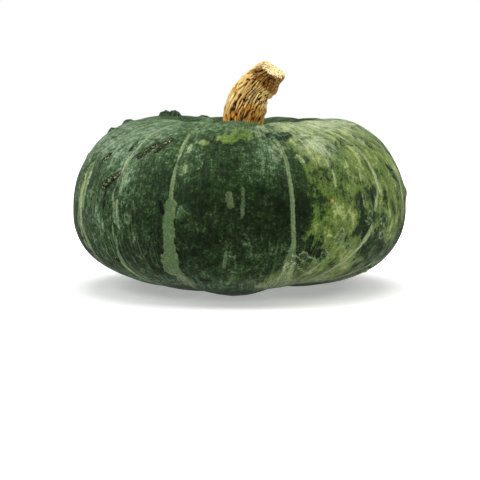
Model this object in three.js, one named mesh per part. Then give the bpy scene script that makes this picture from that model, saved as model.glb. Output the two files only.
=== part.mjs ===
// A kabocha squash: a flat, round winter squash with shallow ribs, a few warts and a dry, furrowed stem.
// Millimetres, +Z up, the side with the best view faces -Y. It stands on flats worn on its lowest ribs.
import * as THREE from "three";

// Driving dimensions
const HALF_WIDTH = 100.6; // middle to the widest place of the skin
const DEPTH_RATIO = 0.97; // front to back, against side to side
const SHOULDER_RISE = 52.3; // widest place up to the crest round the stem hollow
const UNDER_DROP = 48.4; // widest place down to the lowest ring
const HOLLOW_SHIFT = 3.5; // the stem hollow is off the middle, towards +X
const FLAT_DEPTH = 1.1; // how much of the lowest ribs is worn flat
const STEM_BASE_RADIUS = 14.4;
const STEM_TOP_RADIUS = 9.8;
const JOIN_GAP = 0.3; // between the stem's foot and the floor of its hollow

// Fineness of the two meshes
const FRUIT_ROWS = 44;
const COLUMNS_PER_RIB = 6;
const STEM_ROWS = 22;
const STEM_COLUMNS = 52;

// Half section of the fruit from the stem hollow to the blossom end: radius over HALF_WIDTH,
// and height over SHOULDER_RISE above the widest place or over UNDER_DROP below it.
const SECTION = [
  [0, 0.76], [0.08, 0.76], [0.16, 0.76], [0.22, 0.81], [0.29, 0.9], [0.39, 0.975], [0.5, 1],
  [0.62, 0.975], [0.74, 0.89], [0.845, 0.745], [0.925, 0.54], [0.98, 0.29], [1, 0.02],
  [0.988, -0.25], [0.934, -0.5], [0.841, -0.703], [0.7, -0.866], [0.533, -0.962], [0.38, -1],
  [0.22, -0.97], [0.09, -0.94], [0, -0.94],
];

// Each groove between two ribs: azimuth in degrees from the front towards +X, at the widest place,
// at the stem and at the blossom end, then its depth in mm.
const GROOVES = [
  [-84, -72, -86, 0.9], [-65, -49, -66, 0.8], [-45, -38, -44, 0.7], [-21.5, -20, -23, 1.3],
  [1, 1, 0, 0.2], [17.5, 13, 17, 1.3], [32.5, 23, 22, 0.3], [52, 37, 30, 1.2], [73, 58, 52, 0.9],
  [93, 78, 80, 1], [107, 94, 97, 0.3], [122, 110, 116, 1.3], [148, 138, 146, 1.1], [170, 164, 168, 0.8],
  [190, 188, 190, 0.3], [207, 210, 206, 1.3], [230, 240, 230, 0.9], [252, 264, 252, 1.2],
];
const GROOVE_WIDTH = 6; // degrees over which a groove's side falls away

// Depth of the grooves along the skin, from the stem (0) to the blossom end (1)
const GROOVE_FADE = [
  [0, 0], [0.08, 0], [0.12, 1], [0.17, 2.2], [0.26, 2], [0.45, 1.3], [0.62, 1.2], [0.8, 1.7],
  [0.9, 1.5], [0.96, 0.6], [1, 0],
];

// Broad swells of the flesh: azimuth, place along the skin, reach in degrees, reach along, height in mm
const SWELLS = [
  [-2, 0.8, 17, 0.1, 1.0], [-45, 0.84, 14, 0.07, -1.8], [40, 0.82, 17, 0.1, -3.8],
  [66, 0.78, 24, 0.1, -0.9], [-72, 0.74, 26, 0.08, -1.2], [-112, 0.22, 42, 0.1, 1.6],
  [76, 0.27, 24, 0.1, 1.4], [160, 0.22, 40, 0.1, 1.2], [142, 0.84, 26, 0.09, 1.2],
  [228, 0.84, 26, 0.09, 1.2],
];

// The big warts: azimuth, place along the skin, half width and half length in mm, height in mm
const WARTS = [
  [-117, 0.24, 8, 7, 3.4], [-121, 0.215, 8, 7, 4], [-126, 0.185, 7, 7, 2.6], [-92, 0.258, 6, 6, 2.2],
  [-74, 0.302, 5, 6, 1.4], [14, 0.3, 6, 6, 2.4], [20.5, 0.312, 6, 6, 2.6], [66, 0.427, 5, 6, 1.4],
];
const SMALL_WARTS = 9; // strewn over the far side

// A repeatable run of numbers from 0 to 1
function seededNumbers(seed) {
  let state = seed;
  return () => {
    state = (state * 1664525 + 1013904223) % 4294967296;
    return state / 4294967296;
  };
}

function smoothStep(low, high, value) {
  return THREE.MathUtils.smoothstep(value, low, high);
}

// Straight-line reading of a list of [place, value] pairs
function readRamp(ramp, place) {
  for (let i = 1; i < ramp.length; i += 1) {
    const [start, low] = ramp[i - 1];
    const [end, high] = ramp[i];
    if (place <= end) return low + ((high - low) * (place - start)) / (end - start);
  }
  return ramp[ramp.length - 1][1];
}

// Azimuth from one direction to another, between -180 and 180 degrees
function turnBetween(from, to) {
  return THREE.MathUtils.euclideanModulo(to - from + 180, 360) - 180;
}

// A groove leans as it nears the stem and the blossom end.
function grooveAzimuth([widest, atStem, atBlossom], share) {
  const towardsStem = 1 - smoothStep(0.24, 0.4, share);
  const towardsBlossom = smoothStep(0.52, 0.74, share);
  return widest + (atStem - widest) * towardsStem + (atBlossom - widest) * towardsBlossom;
}

function strewWarts() {
  const draw = seededNumbers(41);
  const strewn = [];
  for (let i = 0; i < SMALL_WARTS; i += 1) {
    const azimuth = 100 + 170 * draw();
    const share = 0.24 + 0.4 * draw();
    const size = 4 + 3 * draw();
    strewn.push([azimuth, share, size, size, 0.3 * size]);
  }
  return strewn;
}

// Points of the half section at even steps along the skin, each with its outward direction
function sectionPoints(rows) {
  const corners = SECTION.map(([radius, height]) => {
    const scale = height > 0 ? SHOULDER_RISE : UNDER_DROP;
    return new THREE.Vector2(radius * HALF_WIDTH, height * scale);
  });
  const curve = new THREE.SplineCurve(corners);
  curve.arcLengthDivisions = 800;
  return Array.from({ length: rows + 1 }, (_, row) => {
    const share = row / rows;
    const point = curve.getPointAt(share);
    const along = curve.getTangentAt(share);
    return { share, point, outward: new THREE.Vector2(-along.y, along.x), length: curve.getLength() };
  });
}

// How far the skin stands out from the smooth half section at one place
function relief(azimuth, { share, point, length }, warts) {
  let height = 0;
  for (const groove of GROOVES) {
    const turn = Math.abs(turnBetween(grooveAzimuth(groove, share), azimuth));
    height -= groove[3] * readRamp(GROOVE_FADE, share) * Math.exp(-turn / GROOVE_WIDTH);
  }
  for (const [swellAzimuth, place, reach, reachAlong, rise] of SWELLS) {
    const turn = turnBetween(swellAzimuth, azimuth) / reach;
    const along = (share - place) / reachAlong;
    height += rise * Math.exp(-turn * turn - along * along);
  }
  for (const [wartAzimuth, place, halfWidth, halfLength, rise] of warts) {
    const arc = THREE.MathUtils.degToRad(turnBetween(wartAzimuth, azimuth)) * point.x;
    const across = arc / halfWidth;
    const along = ((share - place) * length) / halfLength;
    height += rise * Math.exp(-1.6 * (across * across + along * along));
  }
  return height;
}

// Closes a tube of rings with a point at each end; rings run anticlockwise from above.
function closedSkin(rings, topPoint, bottomPoint) {
  const columns = rings[0].length;
  const positions = [topPoint, ...rings.flat(), bottomPoint];
  const last = positions.length - 1;
  const faces = [];
  for (let column = 0; column < columns; column += 1) {
    const next = (column + 1) % columns;
    faces.push([0, 1 + column, 1 + next]);
    for (let row = 0; row < rings.length - 1; row += 1) {
      const upper = 1 + row * columns;
      const lower = upper + columns;
      faces.push([upper + column, lower + column, lower + next]);
      faces.push([upper + column, lower + next, upper + next]);
    }
    const bottomRing = last - columns;
    faces.push([last, bottomRing + next, bottomRing + column]);
  }
  const geometry = new THREE.BufferGeometry();
  const numbers = positions.flatMap((position) => position.toArray());
  geometry.setAttribute("position", new THREE.Float32BufferAttribute(numbers, 3));
  geometry.setIndex(faces.flat());
  geometry.computeVertexNormals();
  return geometry;
}

// The azimuths of one row's columns, which follow the grooves
function rowAzimuths(share) {
  const turns = GROOVES.map((groove) => grooveAzimuth(groove, share));
  return turns.flatMap((azimuth, index) => {
    const wrap = index === turns.length - 1 ? 360 : 0;
    const next = turns[(index + 1) % turns.length] + wrap;
    return Array.from({ length: COLUMNS_PER_RIB }, (_, step) => {
      return azimuth + ((next - azimuth) * step) / COLUMNS_PER_RIB;
    });
  });
}

function buildFruit() {
  const warts = [...WARTS, ...strewWarts()];
  const section = sectionPoints(FRUIT_ROWS);
  const rings = section.slice(1, -1).map((place) => {
    const shift = HOLLOW_SHIFT * (1 - smoothStep(0.1, 0.42, place.share));
    return rowAzimuths(place.share).map((azimuth) => {
      const rise = relief(azimuth, place, warts);
      const radius = place.point.x + place.outward.x * rise;
      const angle = THREE.MathUtils.degToRad(azimuth);
      const across = shift + radius * Math.sin(angle);
      const back = -radius * Math.cos(angle) * DEPTH_RATIO;
      return new THREE.Vector3(across, back, place.point.y + place.outward.y * rise);
    });
  });
  const lowest = Math.min(...rings.flat().map((position) => position.z));
  for (const position of rings.flat()) {
    position.z = Math.max(position.z, lowest + FLAT_DEPTH);
  }
  const top = new THREE.Vector3(HOLLOW_SHIFT, 0, section[0].point.y);
  const bottom = new THREE.Vector3(0, 0, section[FRUIT_ROWS].point.y);
  return closedSkin(rings, top, bottom);
}

// The stem's middle line, up from its foot and then over towards +X
function stemLine() {
  const foot = SECTION[0][1] * SHOULDER_RISE + JOIN_GAP;
  return new THREE.CatmullRomCurve3([
    new THREE.Vector3(HOLLOW_SHIFT, 0, foot),
    new THREE.Vector3(3.9, 0, 52.7),
    new THREE.Vector3(6.1, -0.5, 63.3),
    new THREE.Vector3(11.8, -1, 73.4),
    new THREE.Vector3(19.4, -1.5, 83),
  ]);
}

// Distance of the stem's bark from its middle line, with deep furrows that waver as they climb
function barkRadius(angle, share) {
  const taper = THREE.MathUtils.lerp(STEM_BASE_RADIUS, STEM_TOP_RADIUS, smoothStep(0, 1.1, share));
  const foot = 1.2 * Math.exp(-share * 14);
  const lumps = 0.5 * Math.sin(2 * angle + 5 * share) + 0.4 * Math.sin(3 * angle - 7 * share + 1);
  const waver = 0.5 * Math.sin(9 * share) + 0.9 * share;
  const furrows = 0.55 * Math.cos(11 * (angle + waver)) + 0.3 * Math.cos(17 * (angle - 0.6 * waver) + 2);
  return taper - foot + lumps + furrows;
}

function buildStem() {
  const line = stemLine();
  const cutNormal = new THREE.Vector3(0.36, -0.18, 0.92).normalize();
  const top = line.getPointAt(1);
  const rings = [];
  for (let row = 0; row <= STEM_ROWS; row += 1) {
    const share = row / STEM_ROWS;
    const centre = line.getPointAt(share);
    const climb = new THREE.Vector3(0, 0, 1).lerp(line.getTangentAt(share), smoothStep(0, 0.15, share));
    climb.lerp(cutNormal, smoothStep(0.72, 1, share)).normalize();
    const across = new THREE.Vector3(0, 1, 0).cross(climb).normalize();
    const away = climb.clone().cross(across);
    const ring = [];
    for (let column = 0; column < STEM_COLUMNS; column += 1) {
      const angle = (2 * Math.PI * column) / STEM_COLUMNS;
      const radius = barkRadius(angle, share);
      const out = across.clone().multiplyScalar(radius * Math.cos(angle));
      out.addScaledVector(away, radius * Math.sin(angle));
      ring.push(centre.clone().add(out));
    }
    rings.unshift(ring);
  }
  return closedSkin(rings, top.clone().addScaledVector(cutNormal, -0.8), line.getPointAt(0));
}

function namedMesh(name, geometry, colour, roughness) {
  const material = new THREE.MeshStandardMaterial({ color: colour, roughness, metalness: 0 });
  const mesh = new THREE.Mesh(geometry, material);
  mesh.name = name;
  return mesh;
}

const squash = new THREE.Group();
squash.add(namedMesh("fruit", buildFruit(), 0x2f4a2c, 0.5));
squash.add(namedMesh("stem", buildStem(), 0xb48c50, 0.9));

// The origin is under the middle of the squash, on the surface it stands on.
const box = new THREE.Box3().setFromObject(squash, true);
const middle = box.getCenter(new THREE.Vector3());
squash.position.set(-middle.x, -middle.y, -box.min.z);

export default squash;
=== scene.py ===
# A kabocha squash: the dark, ribbed fruit with its pale stripes and warts, and the dry stem on top of it.
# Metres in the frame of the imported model, +Z up; the side seen in the photograph faces -Y.
import math

import bpy
import numpy as np
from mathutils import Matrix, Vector, noise


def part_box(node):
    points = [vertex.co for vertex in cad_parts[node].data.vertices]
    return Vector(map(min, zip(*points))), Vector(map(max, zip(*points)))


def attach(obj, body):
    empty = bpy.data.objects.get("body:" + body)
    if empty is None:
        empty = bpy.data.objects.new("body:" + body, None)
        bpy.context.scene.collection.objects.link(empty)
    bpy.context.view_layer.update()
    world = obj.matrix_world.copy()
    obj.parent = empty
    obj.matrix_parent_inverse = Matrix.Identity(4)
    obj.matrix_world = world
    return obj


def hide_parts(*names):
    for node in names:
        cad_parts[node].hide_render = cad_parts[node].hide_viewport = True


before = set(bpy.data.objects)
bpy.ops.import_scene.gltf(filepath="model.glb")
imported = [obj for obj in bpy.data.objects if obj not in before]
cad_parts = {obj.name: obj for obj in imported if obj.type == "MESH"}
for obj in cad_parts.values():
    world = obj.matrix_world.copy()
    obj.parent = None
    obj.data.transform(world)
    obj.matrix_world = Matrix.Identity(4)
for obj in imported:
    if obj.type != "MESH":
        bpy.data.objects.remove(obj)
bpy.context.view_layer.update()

# The camera
# It stands in front of the fruit, a little above its widest place, about eight half widths away.
# It aims below the fruit's middle, so that the fruit sits in the upper half of the picture.
WIDEST_HEIGHT = 0.0479
VIEW_DISTANCE = 0.81
VIEW_ELEVATION = math.radians(4.5)
LENS = 100.4
AIM = Vector((0.0006, 0, 0.0271))
bpy.ops.object.camera_add()
camera = bpy.context.object
camera.name = "camera"
camera.location = (
    0,
    -VIEW_DISTANCE * math.cos(VIEW_ELEVATION),
    WIDEST_HEIGHT + VIEW_DISTANCE * math.sin(VIEW_ELEVATION),
)
camera.rotation_euler = (AIM - camera.location).to_track_quat("-Z", "Y").to_euler()
camera.data.lens = LENS
camera.data.clip_start = 0.05
camera.data.clip_end = 20
bpy.context.scene.camera = camera
bpy.context.scene.view_settings.view_transform = "Standard"

# The table and the studio light
# A plain white table that turns into a white surround. A wide soft light overhead and one on each
# side leave the front of the skin dark; a weak light in front lifts it, and a narrow one the stem.
TABLE_RADIUS = 4
# The table's own glow, from near the fruit, where its shadow shows, to the white further out
GLOW_PLACES = (0.06, 0.4)
GLOW_STRENGTHS = (0.36, 1.1)


def new_material(name):
    """A material with one Principled shader, its node tree and that shader."""
    material = bpy.data.materials.new(name)
    material.use_nodes = True
    return material, material.node_tree, material.node_tree.nodes["Principled BSDF"]


def set_or_link(tree, value, socket):
    """Feeds a socket from another node's output, or sets it to a plain value."""
    if isinstance(value, bpy.types.NodeSocket):
        tree.links.new(value, socket)
    else:
        socket.default_value = value


def ramp(tree, value, low, high, start=0.0, end=1.0):
    """Goes smoothly from start to end as the value goes from low to high."""
    node = tree.nodes.new("ShaderNodeMapRange")
    node.interpolation_type = "SMOOTHSTEP"
    for name, setting in (("From Min", low), ("From Max", high), ("To Min", start), ("To Max", end)):
        node.inputs[name].default_value = setting
    set_or_link(tree, value, node.inputs["Value"])
    return node.outputs["Result"]


def soft_light(name, place, size, power, colour, in_gloss=True, aim_height=WIDEST_HEIGHT, spread=180):
    """A rectangular light that faces the squash's axis and that the camera doesn't see."""
    bpy.ops.object.light_add(type="AREA", location=place)
    light = bpy.context.object
    light.name = name
    aim = Vector((0, 0, aim_height)) - Vector(place)
    light.rotation_euler = aim.to_track_quat("-Z", "Y").to_euler()
    light.data.spread = math.radians(spread)
    light.data.shape = "RECTANGLE"
    light.data.size, light.data.size_y = size
    light.data.energy = power
    light.data.color = colour
    light.visible_camera = False
    light.visible_glossy = in_gloss


bpy.ops.object.select_all(action="DESELECT")
bpy.ops.mesh.primitive_circle_add(vertices=96, radius=TABLE_RADIUS, fill_type="NGON")
table = bpy.context.object
table.name = "table"
white_table, table_tree, table_shader = new_material("white_table")
table_shader.inputs["Base Color"].default_value = (0.86, 0.86, 0.86, 1)
table_shader.inputs["Roughness"].default_value = 0.8
table_shader.inputs["Emission Color"].default_value = (1, 1, 1, 1)
table_place = table_tree.nodes.new("ShaderNodeTexCoord")
table_reach = table_tree.nodes.new("ShaderNodeVectorMath")
table_reach.operation = "LENGTH"
table_tree.links.new(table_place.outputs["Object"], table_reach.inputs[0])
table_glow = ramp(table_tree, table_reach.outputs["Value"], *GLOW_PLACES, *GLOW_STRENGTHS)
table_tree.links.new(table_glow, table_shader.inputs["Emission Strength"])
table.data.materials.append(white_table)
table.visible_glossy = False

soft_light("overhead", (0.02, 0.16, 0.95), (1.0, 0.8), 11.5, (1, 0.99, 0.97), in_gloss=False)
soft_light("left_side", (-0.78, 0.05, 0.68), (0.5, 0.5), 3, (0.96, 1, 0.98))
soft_light("right_side", (0.8, 0.1, 0.7), (0.5, 0.5), 3, (1, 0.99, 0.94))
soft_light("front_fill", (-0.3, -1, 0.75), (1, 0.7), 3, (1, 1, 0.96), in_gloss=False)
soft_light(
    "stem_light", (-0.1, -0.8, 0.5), (0.1, 0.1), 0.017, (1, 0.97, 0.86),
    in_gloss=False, aim_height=0.1, spread=10,
)

# The surround is seen as plain white, but it lights weakly, and from behind more than from in front
FRONT_TO_BACK = (-0.6, 0.7)
SKY_STRENGTHS = (0.02, 0.2)
surround = bpy.data.worlds.new("white_surround")
bpy.context.scene.world = surround
surround.use_nodes = True
sky = surround.node_tree
sky.nodes.clear()
seen = sky.nodes.new("ShaderNodeBackground")
seen.inputs["Color"].default_value = (1, 1, 1, 1)
lit_by = sky.nodes.new("ShaderNodeBackground")
lit_by.inputs["Color"].default_value = (0.95, 0.98, 1, 1)
direction = sky.nodes.new("ShaderNodeTexCoord")
parts = sky.nodes.new("ShaderNodeSeparateXYZ")
sky.links.new(direction.outputs["Generated"], parts.inputs[0])
sky_strength = ramp(sky, parts.outputs["Y"], *FRONT_TO_BACK, *SKY_STRENGTHS)
sky.links.new(sky_strength, lit_by.inputs["Strength"])
eye = sky.nodes.new("ShaderNodeLightPath")
choice = sky.nodes.new("ShaderNodeMixShader")
sky.links.new(eye.outputs["Is Camera Ray"], choice.inputs[0])
sky.links.new(lit_by.outputs[0], choice.inputs[1])
sky.links.new(seen.outputs[0], choice.inputs[2])
sky_output = sky.nodes.new("ShaderNodeOutputWorld")
sky.links.new(choice.outputs[0], sky_output.inputs["Surface"])

# The fruit
# One grown body of flesh under a hard, waxy green rind: shallow ribs with pale stripes in the grooves
# between them, rough warts, corky scars, a hollow for the stem and worn flats that it stands on.
MM = 0.001
fruit_low, fruit_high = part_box("fruit")
# In mm: half the width, the shoulder above the widest place and the belly below it, how far the stem
# hollow is off to the right, and how much of the lowest ribs is worn flat
HALF_WIDTH = 100.6
SHOULDER_RISE = 52.3
UNDER_DROP = 48.4
HOLLOW_SHIFT = 3.5
FLAT_DEPTH = 1.1
# Depth as a share of the width, and the skin's length from top to bottom in half widths
DEPTH_RATIO = 0.97
SKIN_ASPECT = 2.7
# The half section from the stem hollow to the blossom end: radius and height as shares of the sizes above
SECTION = [
    (0, 0.76), (0.08, 0.76), (0.16, 0.76), (0.22, 0.81), (0.29, 0.9), (0.39, 0.975), (0.5, 1),
    (0.62, 0.975), (0.74, 0.89), (0.845, 0.745), (0.925, 0.54), (0.98, 0.29), (1, 0.02),
    (0.988, -0.25), (0.934, -0.5), (0.841, -0.703), (0.7, -0.866), (0.533, -0.962), (0.38, -1),
    (0.22, -0.97), (0.09, -0.94), (0, -0.94),
]
# Azimuth of each groove in degrees from the front towards +X: at the widest place, at the stem and
# at the blossom end. Then its depth in mm.
GROOVES = [
    (-84, -72, -86, 0.9), (-65, -49, -66, 0.8), (-45, -38, -44, 0.7), (-21.5, -20, -23, 1.3),
    (1, 1, 0, 0.2), (17.5, 13, 17, 1.3), (32.5, 23, 22, 0.3), (52, 37, 30, 1.2), (73, 58, 52, 0.9),
    (93, 78, 80, 1), (107, 94, 97, 0.3), (122, 110, 116, 1.3), (148, 138, 146, 1.1),
    (170, 164, 168, 0.8), (190, 188, 190, 0.3), (207, 210, 206, 1.3), (230, 240, 230, 0.9),
    (252, 264, 252, 1.2),
]
# Reach of a groove in degrees, and how its depth changes down the skin: share of the way and factor
GROOVE_WIDTH = 6
GROOVE_FADE = [
    (0, 0), (0.08, 0), (0.12, 1), (0.17, 2.2), (0.26, 2), (0.45, 1.3), (0.62, 1.2), (0.8, 1.7),
    (0.9, 1.5), (0.96, 0.6), (1, 0),
]
# Broad swells of the flesh: azimuth, place along the skin, reach in degrees, reach along, height in mm
SWELLS = [
    (-2, 0.8, 17, 0.1, 1.0), (-45, 0.84, 14, 0.07, -1.8), (40, 0.82, 17, 0.1, -3.8),
    (66, 0.78, 24, 0.1, -0.9), (-72, 0.74, 26, 0.08, -1.2), (-112, 0.22, 42, 0.1, 2.4),
    (76, 0.27, 24, 0.1, 1.4), (160, 0.22, 40, 0.1, 1.2), (142, 0.84, 26, 0.09, 1.2),
    (228, 0.84, 26, 0.09, 1.2),
]
# Warts: azimuth, place along the skin, half width and half length in mm, height in mm
WARTS = [
    (-119.8, 0.222, 4.4, 5, 3.6), (-122.4, 0.205, 4.2, 5, 3.4), (-90.5, 0.273, 3.2, 4, 1.6),
    (-86, 0.312, 2.6, 3, 1), (11.8, 0.308, 3.4, 2.6, 1.3),
    (17.2, 0.314, 7.6, 4.2, 2.1), (66.5, 0.427, 3.6, 6, 0.8),
]
# How many small ones are strewn over the far side
SMALL_WARTS = 9
# Lumps that are too small for the solid model, given in the same way
NUBS = [
    (-148, 0.195, 4, 3, 1.6), (21.5, 0.599, 3, 3, 0.9), (24.2, 0.613, 3.4, 3, 1),
    (20.5, 0.623, 3, 2.6, 0.9), (23.5, 0.631, 3.2, 3, 0.9), (29.2, 0.599, 2.4, 3.4, 0.9),
    (28.2, 0.612, 2.2, 2.6, 0.7), (34, 0.553, 2.2, 4, 1), (32.8, 0.562, 2, 2.4, 0.7),
    (46.8, 0.517, 2.6, 3.4, 0.9), (45.6, 0.527, 2.4, 2.4, 0.7), (54.8, 0.529, 3, 3, 0.8),
    (54.5, 0.563, 2.4, 2.4, 0.6), (37.8, 0.582, 2.2, 2.2, 0.6), (60, 0.595, 3, 2.4, 0.7),
    (-15.8, 0.722, 2, 2, 1.2), (61, 0.656, 2.2, 2.2, 1.4), (65, 0.679, 2, 2, 1),
    (81, 0.478, 3, 5, 1.3), (39.5, 0.432, 1.6, 1.6, 0.5),
]
# Pale stripes by number of their groove: place along the skin, degrees off the groove and half width
# in mm. A half width under 0 is a gap.
STRIPES = {
    0: [(0.28, 0, 0.3), (0.42, 0, 1.6), (0.6, 0, 1.2), (0.8, 0, 0.6)],
    1: [(0.2, -4, 0.5), (0.28, -3.4, 0.7), (0.36, 1.3, 0.8), (0.402, 0, 0.8), (0.408, 0, 4.2),
        (0.46, 0.5, 4.6), (0.5, -1, 4.2), (0.515, -0.6, 2.2), (0.57, 0.6, 1.8), (0.7, -1, 1.4),
        (0.9, 0, 0.4)],
    2: [(0.22, -1, 0.6), (0.313, 0.2, 1), (0.34, 2, 1), (0.363, 3, 0.9), (0.385, 2.5, 0.9),
        (0.39, 2.4, 1.6), (0.406, 2.2, 1.6), (0.412, 2, 0.9), (0.431, 0.8, 0.8), (0.455, 0.5, 0.9),
        (0.475, -0.2, 0.8), (0.492, -0.5, 0.6), (0.5, -0.3, -0.5), (0.53, 0, -0.5), (0.536, 0, 0.8),
        (0.57, 0.8, 0.9), (0.61, -0.5, 1.2), (0.637, -1.8, 1.4), (0.7, -1, 1.2), (0.9, 0, 0.4)],
    3: [(0.18, -2, -0.2), (0.285, -2, -0.2), (0.3, -2, 0.8), (0.34, -0.9, 1.1), (0.37, -0.4, 1),
        (0.385, -0.4, 0.4), (0.4, -0.3, 0.9), (0.43, -0.5, 1.2), (0.472, -0.5, 1.2), (0.482, -0.5, 4),
        (0.5, -0.8, 3.4), (0.56, -0.8, 3.2), (0.59, -1, 3.7), (0.605, -1.8, 5.2), (0.65, -2, 5.4),
        (0.665, -0.3, 3.4), (0.7, 1, 2.6), (0.76, 1.4, 2), (0.9, 0, 0.8)],
    5: [(0.24, -2, 0.3), (0.3, -2.4, 0.9), (0.33, -1.2, 1.1), (0.36, -1, 1.2), (0.4, -1, 1.1),
        (0.46, -0.7, 1.3), (0.535, -0.5, 1.3), (0.565, 0.1, 1.4), (0.585, 0, 2), (0.61, 0.2, 3.4),
        (0.65, 0.4, 3.4), (0.7, 1.5, 5.4), (0.76, 2, 5), (0.92, 0, 1)],
    6: [(0.4, 0.5, -0.5), (0.42, 0.5, 0.8), (0.44, 0.5, 0.7), (0.46, 0.3, -0.5), (0.49, 0, 0.7),
        (0.52, 0, -0.5)],
    7: [(0.16, 0, 0.4), (0.26, 0, 1), (0.31, 2.4, 1.2), (0.345, 1.3, 1.1), (0.374, 0.6, 1),
        (0.405, 1.2, 1.2), (0.436, 1.5, 1.5), (0.462, 1.5, 1.6), (0.48, -0.5, 1.3), (0.503, -1.8, 1.7),
        (0.51, -2.2, -0.6), (0.525, -3, -0.6), (0.533, -3.3, 1.3), (0.551, -3.8, 2), (0.58, -3.5, 2.2),
        (0.62, -3.2, 2.2), (0.66, -1.6, 2.2), (0.71, 1.2, 2), (0.85, 0, 1)],
    8: [(0.2, 0, 0.4), (0.33, 2, 0.7), (0.39, 2.6, 1.3), (0.46, 1.4, 1.6), (0.52, 2, 1), (0.7, 0, 0.8)],
}
BACK_STRIPES = (9, 11, 12, 13, 15, 16, 17)
# Ragged marks on the skin, each a stroke from one place to another: azimuth and share of the way
# at its start, the same at its end, and its half width in mm.
PALE_MARKS = [
    (-19.2, 0.345, -18.6, 0.36, 1.5), (-18.4, 0.4, -18, 0.412, 1.3), (-3.2, 0.463, -2.6, 0.485, 1.9),
    (-4.2, 0.585, -5.2, 0.625, 1.1), (-4.8, 0.69, -2.2, 0.658, 0.9), (1.5, 0.452, 1, 0.508, 1),
    (-40.8, 0.422, -41.6, 0.458, 1.2), (-42.8, 0.483, -42, 0.535, 1.2),
    (-40, 0.418, -40.4, 0.446, 0.6), (-44.6, 0.475, -43.6, 0.53, 0.5), (-45, 0.54, -45.2, 0.575, 0.6),
    (-45.5, 0.61, -46.8, 0.65, 1), (13, 0.346, 13.6, 0.354, 1.2), (15.4, 0.35, 15.4, 0.376, 0.6),
    (52.6, 0.315, 57, 0.342, 1.2), (65, 0.345, 64.6, 0.356, 1.2), (45.2, 0.415, 44.4, 0.438, 0.7),
    (43.6, 0.472, 43.8, 0.494, 0.7), (-1.4, 0.594, -1.2, 0.628, 0.6), (33, 0.552, 33.6, 0.566, 0.8),
    (-57.5, 0.46, -58, 0.5, 0.8), (20.8, 0.375, 22.4, 0.389, 1.3), (28.6, 0.349, 33, 0.377, 1.7),
    (32.2, 0.388, 31.4, 0.402, 0.8), (38.6, 0.407, 40, 0.403, 1), (45.2, 0.414, 44.6, 0.435, 1),
    (32.9, 0.424, 32.5, 0.448, 0.6), (55.2, 0.335, 55.6, 0.348, 1.5), (53.6, 0.316, 54.2, 0.324, 1),
    (24, 0.33, 28, 0.345, 1), (-60, 0.63, -58.5, 0.67, 0.6),
]
DARK_MARKS = [
    (-25.6, 0.481, -24.4, 0.503, 1), (-48.4, 0.456, -49.2, 0.475, 0.9),
    (-49, 0.486, -49.2, 0.498, 0.8), (-38, 0.379, -36.4, 0.37, 1.4), (43.2, 0.324, 42, 0.352, 0.7),
    (46.6, 0.345, 48.8, 0.35, 0.5), (29.6, 0.427, 30.8, 0.436, 0.5), (63, 0.343, 67.4, 0.352, 0.5),
    (61, 0.357, 60.4, 0.363, 0.6), (48.5, 0.461, 49, 0.483, 1), (37, 0.481, 37.4, 0.487, 0.6),
    (53.8, 0.32, 54.6, 0.33, 0.6), (38.5, 0.352, 41, 0.334, 0.5), (42.5, 0.342, 45.5, 0.326, 0.5),
    (44.6, 0.337, 43.4, 0.352, 0.3), (64.4, 0.408, 69.4, 0.444, 1.5), (27.4, 0.432, 28, 0.43, 0.5),
    (29.6, 0.42, 30.2, 0.416, 0.5), (32.6, 0.407, 33, 0.403, 0.5), (31.8, 0.428, 32.2, 0.424, 0.4),
    (28, 0.41, 28.3, 0.408, 0.4), (57.6, 0.648, 57.2, 0.65, 1), (44.2, 0.6, 44.6, 0.602, 0.8),
    (60.4, 0.66, 61.6, 0.664, 1.4), (82.4, 0.468, 80.4, 0.49, 1.6), (-4.5, 0.535, -4.2, 0.537, 0.5),
    (58.4, 0.35, 59.4, 0.36, 0.7), (-15, 0.674, -11.6, 0.672, 0.8),
]
CORK_MARKS = [
    (-37.6, 0.377, -35.4, 0.362, 1.8), (-35.4, 0.36, -33.2, 0.346, 1.1),
    (-31.4, 0.366, -29.8, 0.346, 0.8), (-29.6, 0.342, -28.4, 0.33, 1.2), (-57.8, 0.4, -55, 0.381, 1.4),
    (-50.4, 0.453, -47.4, 0.436, 1.7), (-47, 0.434, -44.8, 0.424, 1.4),
    (-44.6, 0.364, -44.2, 0.341, 0.6), (-49, 0.614, -47.8, 0.622, 0.8), (155, 0.4, 158, 0.39, 1.2),
    (-160, 0.47, -163, 0.49, 1), (118, 0.35, 121, 0.34, 0.9), (-104, 0.42, -107, 0.44, 1),
]
# Dark skin around the cork, in mm
CORK_BORDER = 0.9
# How far the cork stands out, in mm
CORK_RISE = 0.35
# The one brown dot, given like a wart, and its radius in mm
DOT = (30.5, 0.479, 1, 1, 0.8)
DOT_RADIUS = 0.95
# A ring-shaped scar: azimuth, place along the skin, radius and half width in mm
RING_SCAR = (-37.9, 0.518, 2.6, 0.75)
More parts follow.
